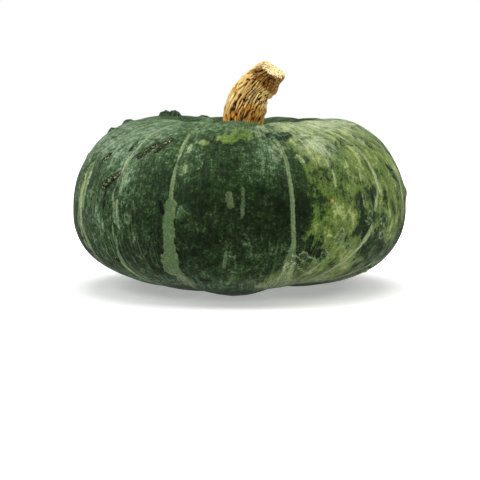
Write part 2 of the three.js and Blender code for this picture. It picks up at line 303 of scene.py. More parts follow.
# Where the rind has turned olive yellow: azimuth, place, reach in degrees, reach along, strength.
# A strength under 0 is a dark patch in it. The sum of them goes no higher than MOST_OLIVE.
MOST_OLIVE = 0.66
OLIVE_AREAS = [
    (35, 0.27, 24, 0.06, 0.7), (40, 0.37, 16, 0.06, 0.8), (58, 0.41, 14, 0.1, 0.6),
    (70, 0.49, 12, 0.11, 0.6), (33, 0.48, 6, 0.1, 0.33), (44, 0.45, 9, 0.08, 0.3),
    (62, 0.545, 7, 0.04, 0.5), (42, 0.61, 5, 0.05, 0.6), (25, 0.5, 7, 0.14, 0.2),
    (24, 0.66, 8, 0.05, 0.45), (13, 0.69, 7, 0.035, 0.35), (33, 0.61, 5, 0.07, 0.5),
    (22, 0.33, 6, 0.04, 0.4), (3, 0.28, 9, 0.03, 0.25), (78, 0.32, 18, 0.12, 0.5),
    (20, 0.7, 12, 0.05, 0.45), (50, 0.7, 34, 0.07, 0.6), (45, 0.53, 16, 0.06, 0.35),
    (31, 0.53, 5, 0.05, 0.35), (-10, 0.316, 7, 0.022, 0.34), (-1, 0.308, 7, 0.02, 0.34),
    (-13, 0.338, 3, 0.01, 0.4), (1.5, 0.357, 1.8, 0.008, 0.55), (-3, 0.332, 6, 0.014, 0.42),
    (-42, 0.551, 1, 0.01, 0.6), (-66, 0.52, 4, 0.13, 0.6), (150, 0.42, 30, 0.14, 0.6),
    (-45.5, 0.34, 3, 0.007, 0.5), (-140, 0.52, 24, 0.12, 0.5), (60, 0.18, 60, 0.06, 0.4),
    (50, 0.52, 5, 0.016, -0.45), (44.5, 0.54, 3, 0.022, -0.4), (57, 0.535, 3, 0.022, -0.45),
    (36, 0.555, 3, 0.018, -0.5), (53, 0.595, 5, 0.02, -0.5), (47, 0.48, 3, 0.012, -0.3),
    (56.4, 0.47, 1.2, 0.014, -0.7), (51.4, 0.46, 1, 0.014, -0.6), (62, 0.61, 4, 0.018, -0.5),
    (145, 0.5, 8, 0.05, -0.6), (164, 0.46, 7, 0.05, -0.6),
]
# Where a pale, bluish bloom dulls the green, given in the same way; the green is deepest under 0.
# They are partly real bloom and partly painted light: painted sheen on the top and shoulders, and
# painted light from below on the lowest part.
BLOOM_AND_SHEEN_AREAS = [
    (-58, 0.31, 36, 0.09, 0.9), (-110, 0.36, 40, 0.14, 0.9), (-78, 0.5, 20, 0.12, 0.3),
    (29, 0.325, 8, 0.03, 0.6), (-12, 0.29, 12, 0.03, 0.34), (-3, 0.31, 10, 0.03, -0.3),
    (-66, 0.46, 4, 0.06, -0.6), (52, 0.25, 44, 0.06, 1), (-19, 0.37, 5, 0.03, 0.2),
    (-20, 0.2, 40, 0.045, 0.7), (0, 0.71, 60, 0.04, 0.6), (62, 0.63, 14, 0.05, 0.4),
    (-50, 0.68, 34, 0.05, 0.6), (180, 0.3, 60, 0.1, 0.8), (86, 0.42, 10, 0.12, 0.5),
    (10, 0.35, 5, 0.06, 0.6), (30, 0.362, 6, 0.025, 0.7), (-45, 0.36, 12, 0.06, 0.3),
    (-18.4, 0.5, 1.8, 0.018, 0.4), (-30, 0.56, 8, 0.09, -0.25), (3, 0.51, 14, 0.1, -0.25),
    (-53, 0.5, 14, 0.12, 0.25), (-38, 0.42, 9, 0.05, 0.25), (22, 0.5, 5, 0.1, -0.2),
    (50, 0.54, 16, 0.1, 0.08), (-41, 0.44, 2, 0.022, 0.6), (-42.4, 0.51, 2, 0.03, 0.5),
    (-18.3, 0.406, 1.6, 0.01, 0.5), (-18.9, 0.352, 1.6, 0.01, 0.5),
]
# Where fine pale veins run along the skin
VEIN_AREAS = [
    (52, 0.67, 32, 0.08, 1), (-60, 0.64, 26, 0.12, 0.75), (62, 0.28, 26, 0.07, 0.35),
    (-66, 0.27, 36, 0.06, 0.9), (-20, 0.7, 30, 0.04, 0.6), (-84, 0.45, 12, 0.16, 0.4),
    (26, 0.67, 9, 0.05, 0.6), (11, 0.35, 5, 0.05, 0.4), (160, 0.62, 60, 0.12, 0.7),
    (-140, 0.3, 40, 0.1, 0.5),
]


def seeded_numbers(seed):
    """A repeatable run of numbers from 0 to 1."""
    state = seed
    while True:
        state = (state * 1664525 + 1013904223) % 4294967296
        yield state / 4294967296


def strewn_warts():
    """The small warts of the far side."""
    draw = seeded_numbers(41)
    strewn = []
    for _ in range(SMALL_WARTS):
        azimuth = 100 + 170 * next(draw)
        share = 0.24 + 0.4 * next(draw)
        size = 4 + 3 * next(draw)
        strewn.append((azimuth, share, size, size, 0.3 * size))
    return strewn


ALL_WARTS = WARTS + strewn_warts()


def smooth_step(low, high, value):
    """0 up to the low value and 1 from the high one on, with a smooth rise between them."""
    share = np.clip((value - low) / (high - low), 0, 1)
    return share * share * (3 - 2 * share)


def turn_between(start, end):
    """Azimuth from one direction to another, between -180 and 180 degrees."""
    return (end - start + 180) % 360 - 180


def groove_azimuth(groove, share):
    """A groove leans as it nears the stem and the blossom end."""
    widest, at_stem, at_blossom, _ = groove
    towards_stem = 1 - smooth_step(0.24, 0.4, share)
    towards_blossom = smooth_step(0.52, 0.74, share)
    return widest + (at_stem - widest) * towards_stem + (at_blossom - widest) * towards_blossom


def smooth_line(corners, steps_per_corner=120):
    """A smooth line through the corners, and the share of the way at each of its points."""
    corners = np.array(corners, float)
    padded = np.vstack([corners[:1], corners, corners[-1:]])
    step = np.linspace(0, 1, steps_per_corner, endpoint=False)[:, None]
    stretches = []
    for before, start, end, after in zip(padded, padded[1:], padded[2:], padded[3:]):
        leave, arrive = (end - before) / 2, (after - start) / 2
        cubic = (2 * start - 2 * end + leave + arrive) * step ** 3
        square = (3 * end - 3 * start - 2 * leave - arrive) * step ** 2
        stretches.append(cubic + square + leave * step + start)
    points = np.vstack(stretches + [corners[-1:]])
    way = np.append(0, np.cumsum(np.linalg.norm(np.diff(points, axis=0), axis=1)))
    return points, way / way[-1], way[-1]


section, section_shares, SKIN_LENGTH = smooth_line([
    (radius * HALF_WIDTH, height * (SHOULDER_RISE if height > 0 else UNDER_DROP))
    for radius, height in SECTION
])
section_along = np.gradient(section, axis=0)
section_along /= np.linalg.norm(section_along, axis=1)[:, None]


def along_section(share, values):
    """What goes with the half section's points, at other shares of the way."""
    return np.interp(share, section_shares, values)


def along_ribs(azimuth, share):
    """Azimuth that stays the same all the way down a rib, though the rib leans."""
    order = sorted(GROOVES) + [(GROOVES[0][0] + 360, GROOVES[0][1] + 360, GROOVES[0][2] + 360, 0)]
    steady = np.array(azimuth)
    for groove, following in zip(order, order[1:]):
        start = groove_azimuth(groove, share)
        turn = (azimuth - start) % 360
        rib = groove_azimuth(following, share) - start
        within = turn < rib
        steady[within] = (groove[0] + turn / rib * (following[0] - groove[0]))[within]
    return steady


def offsets(azimuth, share, mark_azimuth, mark_share):
    """Distance in mm across and down the skin from a mark to each vertex."""
    radius = along_section(mark_share, section[:, 0])
    across = np.radians(turn_between(mark_azimuth, azimuth)) * radius
    return across, (share - mark_share) * SKIN_LENGTH


def lumps(azimuth, share, list_of_lumps):
    """Height of the warts or nubs at each vertex, in mm."""
    height = np.zeros_like(azimuth)
    for lump_azimuth, lump_share, half_width, half_length, rise in list_of_lumps:
        across, down = offsets(azimuth, share, lump_azimuth, lump_share)
        height += rise * np.exp(-1.6 * ((across / half_width) ** 2 + (down / half_length) ** 2))
    return height


def nearness(azimuth, share, list_of_lumps, growth=1, margin=0):
    """1 in the middle of each wart or nub, whatever its height, and less around it."""
    even = np.array(list_of_lumps, float)
    even[:, 2:4] = growth * even[:, 2:4] + margin
    even[:, 4] = 1
    return lumps(azimuth, share, even)


def areas(azimuth, share, list_of_areas):
    """Strength at each vertex of what spreads round several places."""
    strength = np.zeros_like(azimuth)
    for place_azimuth, place, reach, reach_along, amount in list_of_areas:
        turn = turn_between(place_azimuth, azimuth) / reach
        strength += amount * np.exp(-turn ** 2 - ((share - place) / reach_along) ** 2)
    return strength


def inside_marks(azimuth, share, marks):
    """How far in mm each vertex is inside the nearest of the marks; under 0 outside them."""
    inside = np.full_like(azimuth, -10)
    for start_azimuth, start_share, end_azimuth, end_share, half_width in marks:
        across, down = offsets(azimuth, share, start_azimuth, start_share)
        end_across, end_down = offsets(end_azimuth, end_share, start_azimuth, start_share)
        length = max(math.hypot(end_across, end_down), 0.01)
        along = np.clip((across * end_across + down * end_down) / length ** 2, 0, 1)
        gap = np.hypot(across - along * end_across, down - along * end_down)
        inside = np.maximum(inside, half_width - gap)
    return inside


def back_stripe(seed):
    """A stripe of the far side: like those in front, narrow at the top and broken further down."""
    draw = seeded_numbers(seed)
    knots = [(0.16, 0, 0.3), (0.28, 0, 0.7)]
    for step in range(8):
        knots.append((0.34 + 0.06 * step, 3 * next(draw) - 1.5, 3.6 * next(draw) ** 2 - 0.1))
    return knots + [(0.92, 0, 0.5)]


def inside_stripes(azimuth, share):
    """How far in mm each vertex is inside the nearest stripe, under 0 outside them, and its half width."""
    stripes = dict(STRIPES)
    stripes.update({number: back_stripe(number) for number in BACK_STRIPES})
    radius = along_section(share, section[:, 0])
    inside = np.full_like(azimuth, -10)
    width = np.zeros_like(azimuth)
    for number, knots in stripes.items():
        places, shifts, half_widths = np.array(knots).T
        middle = groove_azimuth(GROOVES[number], share) + np.interp(share, places, shifts)
        gap = np.abs(np.radians(turn_between(middle, azimuth))) * radius
        half_width = np.interp(share, places, half_widths, left=-2, right=-2)
        nearer = half_width - gap > inside
        inside = np.where(nearer, half_width - gap, inside)
        width = np.where(nearer, half_width, width)
    return inside, width


def skin_noise(points, grain, seed):
    """Smooth noise from -1 to 1 at points in mm, with swells about as wide as the grain."""
    shift = Vector((seed, 2 * seed, 3 * seed))
    return np.array([noise.noise(Vector(point) / grain + shift) for point in points])


def wart_shape(azimuth, share, warts):
    """Height of the rough warts at each vertex, steep at their edges and blunt on top, in mm."""
    height = np.zeros_like(azimuth)
    for wart in warts:
        rise = wart[4] * smooth_step(0.1, 0.75, nearness(azimuth, share, [wart]))
        height = np.maximum(height, rise)
    return height


def relief(azimuth, share, ball, rough, cork):
    """How far the skin stands out from the smooth half section, in mm."""
    height = areas(azimuth, share, SWELLS)
    fade = np.interp(share, *np.array(GROOVE_FADE).T)
    for groove in GROOVES:
        turn = np.hypot(turn_between(groove_azimuth(groove, share), azimuth), 1)
        height -= groove[3] * fade * np.exp(-turn / GROOVE_WIDTH)
    broad_waves = 0.35 * skin_noise(ball, 22, 4)
    small_waves = 0.12 * skin_noise(ball, 8, 7)
    height += broad_waves + small_waves
    height += wart_shape(azimuth, share, ALL_WARTS) + lumps(azimuth, share, NUBS + [DOT])
    knobbly = rough > 0.02
    knobs = 0.9 * skin_noise(ball[knobbly], 2.6, 3) + 0.6 * skin_noise(ball[knobbly], 1.2, 9)
    height[knobbly] += knobs * rough[knobbly]
    return height + CORK_RISE * smooth_step(-0.8, 0.8, cork)


def set_on_table(azimuth, share, rise):
    """Vertices of the skin in metres, worn flat below and set in the CAD fruit's box."""
    radius = along_section(share, section[:, 0]) - rise * along_section(share, section_along[:, 1])
    height = along_section(share, section[:, 1]) + rise * along_section(share, section_along[:, 0])
    shift = HOLLOW_SHIFT * (1 - smooth_step(0.1, 0.42, share))
    angle = np.radians(azimuth)
    across = shift + radius * np.sin(angle)
    back = -radius * np.cos(angle) * DEPTH_RATIO
    vertices = np.column_stack([across, back, height]) * MM
    vertices[:, 2] = np.maximum(vertices[:, 2], vertices[:, 2].min() + FLAT_DEPTH * MM)
    middle = (vertices.min(0) + vertices.max(0)) / 2
    home = (fruit_low + fruit_high) / 2
    return vertices + [home.x - middle[0], home.y - middle[1], fruit_low.z - vertices[:, 2].min()]


def new_ball(name, segments, rings):
    """A unit ball to shape a piece from, with its map for baking."""
    bpy.ops.object.select_all(action="DESELECT")
    bpy.ops.mesh.primitive_uv_sphere_add(segments=segments, ring_count=rings, radius=1)
    piece = bpy.context.object
    piece.name = name
    piece.data.uv_layers[0].name = "OFBake"
    return piece


def reshape(piece, vertices):
    """Moves the selected piece's vertices to these places in metres, and smooths its shading."""
    piece.data.vertices.foreach_set("co", vertices.ravel())
    piece.data.update()
    bpy.ops.object.shade_smooth()


def ball_places(mesh):
    """Azimuth in degrees and share of the way from the top for each vertex of a unit ball."""
    points = np.array([vertex.co for vertex in mesh.vertices])
    points /= np.linalg.norm(points, axis=1)[:, None]
    azimuth = np.degrees(np.arctan2(points[:, 0], -points[:, 1]))
    return azimuth, np.arccos(np.clip(points[:, 2], -1, 1)) / math.pi


def rolled_out(angle, share):
    """Places in mm on a drum with the skin rolled onto it, for noise that is even all over."""
    return np.column_stack([np.sin(angle), np.cos(angle), SKIN_ASPECT * share]) * HALF_WIDTH


def store(mesh, name, values):
    """Keeps a number or a vector for each vertex, for the material to read."""
    kind, field = ("FLOAT", "value") if values.ndim == 1 else ("FLOAT_VECTOR", "vector")
    mesh.attributes.new(name, kind, "POINT").data.foreach_set(field, values.astype(np.float32).ravel())


def subdivide_where(piece, chosen, cuts):
    """Cuts the faces whose corners are all chosen into finer ones."""
    bpy.context.tool_settings.mesh_select_mode = (False, False, True)
    bpy.ops.object.mode_set(mode="EDIT")
    bpy.ops.mesh.select_all(action="DESELECT")
    bpy.ops.object.mode_set(mode="OBJECT")
    faces = [all(chosen[index] for index in face.vertices) for face in piece.data.polygons]
    piece.data.polygons.foreach_set("select", faces)
    bpy.ops.object.mode_set(mode="EDIT")
    bpy.ops.mesh.subdivide(number_cuts=cuts)
    bpy.ops.object.mode_set(mode="OBJECT")


# Finer faces where the lumps and the marks are, and a little around them
LEAST_NEARNESS = 0.12
MARK_MARGIN = 1.2
fruit = new_ball("squash_fruit", 360, 180)
azimuth, share = ball_places(fruit.data)
near_lump = nearness(azimuth, share, ALL_WARTS + NUBS + [DOT], growth=1.3, margin=1) > LEAST_NEARNESS
near_mark = inside_marks(azimuth, share, PALE_MARKS + DARK_MARKS + CORK_MARKS) > -MARK_MARGIN
subdivide_where(fruit, near_lump | near_mark, 2)

azimuth, share = ball_places(fruit.data)
rough = np.clip(1.1 * nearness(azimuth, share, ALL_WARTS), 0, 1)
cork = inside_marks(azimuth, share, CORK_MARKS)
rise = relief(azimuth, share, rolled_out(np.radians(azimuth), share), rough, cork)
reshape(fruit, set_on_table(azimuth, share, rise))

dot_across, dot_down = offsets(azimuth, share, DOT[0], DOT[1])
ring_across, ring_down = offsets(azimuth, share, RING_SCAR[0], RING_SCAR[1])
ring = RING_SCAR[3] - np.abs(np.hypot(ring_across, ring_down) - RING_SCAR[2])
stripe, stripe_width = inside_stripes(azimuth, share)
store(fruit.data, "flow", rolled_out(np.radians(along_ribs(azimuth, share)), share))
store(fruit.data, "rough", rough)
store(fruit.data, "nub", np.clip(nearness(azimuth, share, NUBS), 0, 1))
store(fruit.data, "cork", cork)
store(fruit.data, "stripe", stripe)
store(fruit.data, "stripe_width", stripe_width)
store(fruit.data, "pale", np.maximum(inside_marks(azimuth, share, PALE_MARKS), ring))
store(fruit.data, "dark", np.maximum(inside_marks(azimuth, share, DARK_MARKS), cork + CORK_BORDER))
store(fruit.data, "olive", np.clip(areas(azimuth, share, OLIVE_AREAS), -1, MOST_OLIVE))
# The bloom, with the painted sheen and the painted light from below, for the material to read
store(fruit.data, "bloom_and_sheen", np.clip(areas(azimuth, share, BLOOM_AND_SHEEN_AREAS), -0.5, 1))
store(fruit.data, "veins", np.clip(areas(azimuth, share, VEIN_AREAS), 0, 1))
store(fruit.data, "dot", DOT_RADIUS - np.hypot(dot_across, dot_down))
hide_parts("fruit")
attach(fruit, "root")


def paint(red, green, blue):
    """A colour given as 0 to 255 values on a screen, as the light that it stands for."""
    shares = [value / 255 for value in (red, green, blue)]
    return tuple(s / 12.92 if s < 0.04045 else ((s + 0.055) / 1.055) ** 2.4 for s in shares) + (1,)


def reckon(tree, operation, *values):
    """A Math node on these values; its output."""
    node = tree.nodes.new("ShaderNodeMath")
    node.operation = operation
    for socket, value in zip(node.inputs, values):
        set_or_link(tree, value, socket)
    return node.outputs[0]


def plus(tree, first, second):
    """The sum of two values."""
    return reckon(tree, "ADD", first, second)


def times(tree, first, second):
    """The product of two values."""
    return reckon(tree, "MULTIPLY", first, second)


def scaled(tree, vector, factor):
    """A colour or a place, times a number."""
    node = tree.nodes.new("ShaderNodeVectorMath")
    node.operation = "SCALE"
    tree.links.new(vector, node.inputs[0])
    set_or_link(tree, factor, node.inputs["Scale"])
    return node.outputs[0]


def place_in_mm(tree):
    """Where a point of the piece is."""
    return scaled(tree, tree.nodes.new("ShaderNodeTexCoord").outputs["Object"], 1 / MM)


def blend(tree, amount, first, second):
    """The first colour, turning into the second one as the amount goes from 0 to 1."""
    node = tree.nodes.new("ShaderNodeMix")
    node.data_type = "RGBA"
    set_or_link(tree, amount, node.inputs["Factor"])
    set_or_link(tree, first, node.inputs["A"])
    set_or_link(tree, second, node.inputs["B"])
    return node.outputs["Result"]


def speckle(tree, place, grain, detail=3, roughness=0.55, squeeze=(1, 1, 1)):
    """Noise about 0.5 with swells about as wide as the grain in mm, drawn out by the squeeze."""
    mapping = tree.nodes.new("ShaderNodeMapping")
    mapping.inputs["Scale"].default_value = [share / grain for share in squeeze]
    tree.links.new(place, mapping.inputs["Vector"])
    node = tree.nodes.new("ShaderNodeTexNoise")
    node.inputs["Scale"].default_value = 1
    node.inputs["Detail"].default_value = detail
    node.inputs["Roughness"].default_value = roughness
    tree.links.new(mapping.outputs[0], node.inputs["Vector"])
    return node.outputs["Fac"]


def kept(tree, name, output="Fac"):
    """What the mesh keeps under this name."""
    node = tree.nodes.new("ShaderNodeAttribute")
    node.attribute_name = name
    return node.outputs[output]


def ragged(tree, inside, wander, softness=0.35):
    """1 inside a mark and 0 outside it, with an edge that a wander in mm makes ragged."""
    return ramp(tree, plus(tree, inside, wander), -softness, softness)


def about_zero(tree, *noises):
    """Sum of noises about 0.5, each with its strength, that comes out about 0."""
    total = 0
    for value, strength in noises:
        swing = times(tree, reckon(tree, "SUBTRACT", value, 0.5), strength)
        total = plus(tree, total, swing)
    return total


def shades(tree, value, stops):
    """Colours that follow each other as the value rises: each stop is a value and its colour."""
    node = tree.nodes.new("ShaderNodeValToRGB")
    elements = node.color_ramp.elements
    while len(elements) < len(stops):
        elements.new(1)
    for element, (position, colour) in zip(elements, stops):
        element.position = position
        element.color = colour
    tree.links.new(value, node.inputs["Fac"])
    return node.outputs["Color"]


def add_bump(tree, shader, height, strength):
    """Tilts the shader's surface by a height in mm."""
    bump = tree.nodes.new("ShaderNodeBump")
    bump.inputs["Strength"].default_value = strength
    bump.inputs["Distance"].default_value = MM
    tree.links.new(height, bump.inputs["Height"])
    tree.links.new(bump.outputs["Normal"], shader.inputs["Normal"])


# The rind's colours; where several follow each other, each has its place from 0 to 1
GROUND_GREENS = [
    (0.1, paint(14, 28, 7)), (0.4, paint(29, 50, 19)), (0.6, paint(52, 79, 38)),
    (0.78, paint(88, 114, 80)), (0.97, paint(136, 158, 129)),
]
OLIVE_YELLOWS = [
    (0.3, paint(32, 57, 16)), (0.44, paint(50, 79, 25)), (0.5, paint(80, 104, 37)),
    (0.78, paint(104, 126, 52)), (1, paint(160, 172, 106)),
]
CORK_TANS = [(0.44, paint(10, 16, 7)), (0.54, paint(64, 76, 40)), (0.64, paint(170, 178, 132))]
WART_GREENS = [(0.36, paint(18, 34, 20)), (0.52, paint(38, 64, 42)), (0.68, paint(110, 138, 108))]
NUB_GREENS = [(0.38, paint(28, 50, 20)), (0.52, paint(52, 80, 38)), (0.66, paint(132, 152, 112))]
# Bloom and painted sheen over the olive
BLOOM_AND_SHEEN_ON_OLIVE = paint(182, 192, 160)
BETWEEN_VEINS = paint(44, 60, 36)
VEIN_ON_GREEN = paint(130, 150, 114)
VEIN_ON_OLIVE = paint(172, 184, 140)
STRIPE_ON_GREEN = paint(90, 114, 66)
STRIPE_ON_OLIVE = paint(170, 184, 132)
STRIPE_WHERE_NARROW = paint(166, 184, 132)
# A stripe under the bloom and painted sheen
STRIPE_IN_BLOOM_AND_SHEEN = paint(176, 192, 148)
STRIPE_STREAK = paint(82, 104, 70)
STRIPE_MOTTLE = paint(128, 146, 106)
STRIPE_BAND = paint(76, 102, 60)
STRIPE_FLECK = paint(58, 80, 48)
SCAR_BLACK = paint(6, 14, 7)
# The painted highlight round a nub
NUB_RIM_HIGHLIGHT = paint(146, 164, 126)
DOT_BROWN = paint(196, 146, 78)


def rind_material():
    """The waxy rind, its olive areas, veins, stripes, marks and scars laid over each other, with painted
    sheen and painted highlights.
    """
    material, tree, shader = new_material("waxy_green_rind")
    flow = kept(tree, "flow", "Vector")
    place = place_in_mm(tree)

    broad = speckle(tree, place, 26, 4)
    clouds = speckle(tree, place, 8, 5, 0.6)
    patches = speckle(tree, place, 9, 7, 0.64, (1, 1, 0.8))
    mottle = speckle(tree, place, 2.8, 4, 0.65)
    fine = speckle(tree, place, 1.2, 3, 0.7)
    wisps = speckle(tree, flow, 2.8, 4, 0.6, (0.55, 0.55, 1))
    streaks = speckle(tree, flow, 1.1, 5, 0.65, (1, 1, 0.1))
    long_streaks = speckle(tree, flow, 1.2, 3, 0.6, (1, 1, 0.03))
    bands = speckle(tree, flow, 5, 4, 0.6, (1, 1, 0.14))
    # Bloom, with painted sheen on the top and painted light from below on the lowest part
    bloom_and_sheen = kept(tree, "bloom_and_sheen")
    vein_area = kept(tree, "veins")

    # The dark ground, mottled, with the bluish bloom and a painted sheen on it
    tone = about_zero(tree, (broad, 0.75), (clouds, 0.7), (mottle, 1), (fine, 1.3), (streaks, 0.5))
    tone = times(tree, tone, ramp(tree, bloom_and_sheen, 0, 1, 1, 0.5))
    silk = plus(tree, about_zero(tree, (wisps, 1), (streaks, 0.65), (mottle, 0.4)), 0.39)
    tone = plus(tree, tone, times(tree, silk, bloom_and_sheen))
    colour = shades(tree, plus(tree, tone, 0.42), GROUND_GREENS)

    # The olive yellow areas: ragged at their edges, mottled and streaked inside
    ripeness = about_zero(tree, (patches, 2.1), (mottle, 0.9), (fine, 0.8), (bands, 0.7), (streaks, 0.4))
    olive = kept(tree, "olive")
    ripeness = times(tree, ripeness, ramp(tree, olive, 0, 0.3, 0.4, 1))
    ripeness = plus(tree, olive, ripeness)
    olive_paint = shades(tree, ripeness, OLIVE_YELLOWS)
    # A pale bloom and painted sheen over the olive, in wisps
    haze = plus(tree, times(tree, wisps, 0.5), times(tree, streaks, 0.5))
    olive_bloom_and_sheen = times(tree, bloom_and_sheen, ramp(tree, haze, 0.4, 0.58))
    olive_paint = blend(tree, olive_bloom_and_sheen, olive_paint, BLOOM_AND_SHEEN_ON_OLIVE)
    is_olive = ramp(tree, ripeness, 0.27, 0.36)
    colour = blend(tree, is_olive, colour, olive_paint)

    # Fine pale veins with dark lines between them
    in_veins = times(tree, vein_area, ramp(tree, streaks, 0.46, 0.41, 0, 0.65))
    colour = blend(tree, in_veins, colour, BETWEEN_VEINS)
    short_lines = ramp(tree, streaks, 0.58, 0.63)
    long_lines = ramp(tree, long_streaks, 0.59, 0.63)
    vein_lines = reckon(tree, "MAXIMUM", short_lines, long_lines)
    veins = times(tree, vein_area, times(tree, vein_lines, 0.85))
    colour = blend(tree, veins, colour, blend(tree, is_olive, VEIN_ON_GREEN, VEIN_ON_OLIVE))

    # Pale stripes and marks
    stripe_paint = blend(tree, is_olive, STRIPE_ON_GREEN, STRIPE_ON_OLIVE)
    stripe_width = kept(tree, "stripe_width")
    narrow = ramp(tree, stripe_width, 2.4, 1.4, 0, 0.35)
    stripe_paint = blend(tree, narrow, stripe_paint, STRIPE_WHERE_NARROW)
    # Stripes are paler under the bloom and painted sheen
    stripe_paint = blend(tree, times(tree, bloom_and_sheen, 0.9), stripe_paint, STRIPE_IN_BLOOM_AND_SHEEN)
    stripe_paint = blend(tree, ramp(tree, streaks, 0.42, 0.6, 0.6, 0), stripe_paint, STRIPE_STREAK)
    stripe_paint = blend(tree, ramp(tree, mottle, 0.5, 0.68, 0, 0.4), stripe_paint, STRIPE_MOTTLE)
    stripe_paint = blend(tree, ramp(tree, bands, 0.5, 0.34, 0, 0.6), stripe_paint, STRIPE_BAND)
    stripe_paint = blend(tree, ramp(tree, fine, 0.46, 0.32, 0, 0.7), stripe_paint, STRIPE_FLECK)
    wander = about_zero(tree, (mottle, 0.9), (fine, 1))
    scallops = about_zero(tree, (patches, 4), (mottle, 4.5))
    scallops = times(tree, scallops, ramp(tree, stripe_width, 1.4, 3.6))
    is_stripe = ragged(tree, kept(tree, "stripe"), plus(tree, wander, scallops), 0.3)
    colour = blend(tree, times(tree, is_stripe, 0.94), colour, stripe_paint)
    is_pale = ragged(tree, kept(tree, "pale"), about_zero(tree, (mottle, 2.6), (fine, 2)), 0.4)
    # Pale marks show more on olive and under the bloom and painted sheen
    pale_strength = times(tree, reckon(tree, "MAXIMUM", is_olive, bloom_and_sheen), 0.3)
    pale_strength = plus(tree, pale_strength, 0.54)
    colour = blend(tree, times(tree, is_pale, pale_strength), colour, stripe_paint)

    # Dark scars, cork, warts, nubs with a painted highlight round them, and the one brown dot
    is_dark = ragged(tree, kept(tree, "dark"), about_zero(tree, (mottle, 3), (fine, 3)), 0.3)
    colour = blend(tree, times(tree, is_dark, 0.94), colour, SCAR_BLACK)
    is_cork = ragged(tree, kept(tree, "cork"), about_zero(tree, (mottle, 5), (fine, 4)))
    colour = blend(tree, is_cork, colour, shades(tree, fine, CORK_TANS))
    nub = kept(tree, "nub")
    nub_wander = times(tree, about_zero(tree, (mottle, 0.9), (fine, 0.7)), ramp(tree, nub, 0.02, 0.16))
    nub_edge = plus(tree, nub, nub_wander)
    is_nub = ramp(tree, nub_edge, 0.24, 0.34, 0, 0.7)
    colour = blend(tree, is_nub, colour, shades(tree, fine, NUB_GREENS))
    # A pale painted highlight in broken curls round each nub
    nub_rim_highlight = times(tree, ramp(tree, nub_edge, 0.18, 0.26), ramp(tree, nub_edge, 0.46, 0.36, 0, 0.6))
    nub_rim_highlight = times(tree, nub_rim_highlight, ramp(tree, mottle, 0.42, 0.54, 0.1, 1))
    colour = blend(tree, nub_rim_highlight, colour, NUB_RIM_HIGHLIGHT)
    wart_edge = plus(tree, kept(tree, "rough"), about_zero(tree, (mottle, 1), (fine, 0.7)))
    is_wart = ramp(tree, wart_edge, 0.34, 0.46, 0, 0.9)
    colour = blend(tree, is_wart, colour, shades(tree, fine, WART_GREENS))
    is_dot = ramp(tree, kept(tree, "dot"), -0.3, 0.3)
    colour = blend(tree, is_dot, colour, DOT_BROWN)

    # A fine grain over all of it
    grit = speckle(tree, place, 0.9, 2, 0.6)
    grain = plus(tree, 1, about_zero(tree, (grit, 1.6), (streaks, 0.35)))
    colour = scaled(tree, colour, grain)
    tree.links.new(colour, shader.inputs["Base Color"])

    # Waxy between the scars, which are dry
    shader.inputs["Specular IOR Level"].default_value = 0.3
    gloss = plus(tree, ramp(tree, clouds, 0.3, 0.7, 0.36, 0.5), about_zero(tree, (fine, 0.3)))
    dry = reckon(tree, "MAXIMUM", is_cork, times(tree, is_stripe, 0.4))
    tree.links.new(plus(tree, gloss, times(tree, dry, 0.35)), shader.inputs["Roughness"])

    # Unevenness: dimples, raised veins, sunk stripes and gritty cork, heights in mm
    height = about_zero(tree, (mottle, 0.9), (fine, 0.5), (patches, 0.9), (wisps, 0.5), (streaks, 0.3))
    height = plus(tree, height, times(tree, veins, 0.3))
    height = plus(tree, height, times(tree, is_stripe, -0.15))
    grit_rise = times(tree, fine, plus(tree, is_cork, is_wart))
    height = plus(tree, height, times(tree, grit_rise, 1.2))
    add_bump(tree, shader, height, 0.9)
    return material


fruit.data.materials.append(rind_material())

# The stem
# The stalk that the fruit hung by, dried to a hard cork: tan, with deep brown furrows that wander up
# it, orange at its foot, bent over towards the right and torn off across its top. Painted shade darkens
# the deepest furrows and a band under the torn end.
RIDGES = 11
WRINKLES = 17
FURROW_DEPTH = 1.6
# The stem's middle line from its foot up, in mm from the centre of the fruit's widest place
STEM_LINE = [(2.6, 0, 39.2), (2.9, 0, 52.7), (5.6, -0.5, 63.3), (11.9, -1, 73.4), (19.4, -1.5, 81.8)]
# Its radius from the foot to the torn end: share of the way up, mm
STEM_RADII = [(0, 10.4), (0.12, 10.8), (0.35, 11.3), (0.55, 11.1), (0.66, 10.6), (0.82, 9.7), (1, 8.8)]
# Swells and hollows of its right side: share of the way up, reach, height in mm
STEM_SWELLS = [(0.8, 0.06, 1.1), (0.64, 0.07, -1.7), (0.4, 0.12, 0.5), (0, 0.25, -1)]
# The torn end is made of the ball's top down to the first share, and the foot from the second one on
CUT_SHARE = 0.15
FOOT_SHARE = 0.95
CUT_FACING = np.array([0.5, -0.34, 0.8])
CUT_FACING /= np.linalg.norm(CUT_FACING)
# Radius in mm of the straight rod on which the noise of the bark is reckoned
BARK_RADIUS = 12
stem_points, stem_shares, STEM_LENGTH = smooth_line(STEM_LINE)
stem_along = np.gradient(stem_points, axis=0)
stem_along /= np.linalg.norm(stem_along, axis=1)[:, None]


def unit(vectors):
    """The same directions, each 1 long."""
    return vectors / np.linalg.norm(vectors, axis=1)[:, None]


def rod_places(angle, climb, squeeze):
    """Places in mm on the straight rod, squeezed lengthwise so that noise on it is drawn out."""
    lengthwise = squeeze * STEM_LENGTH * climb
    return np.column_stack([BARK_RADIUS * np.cos(angle), BARK_RADIUS * np.sin(angle), lengthwise])


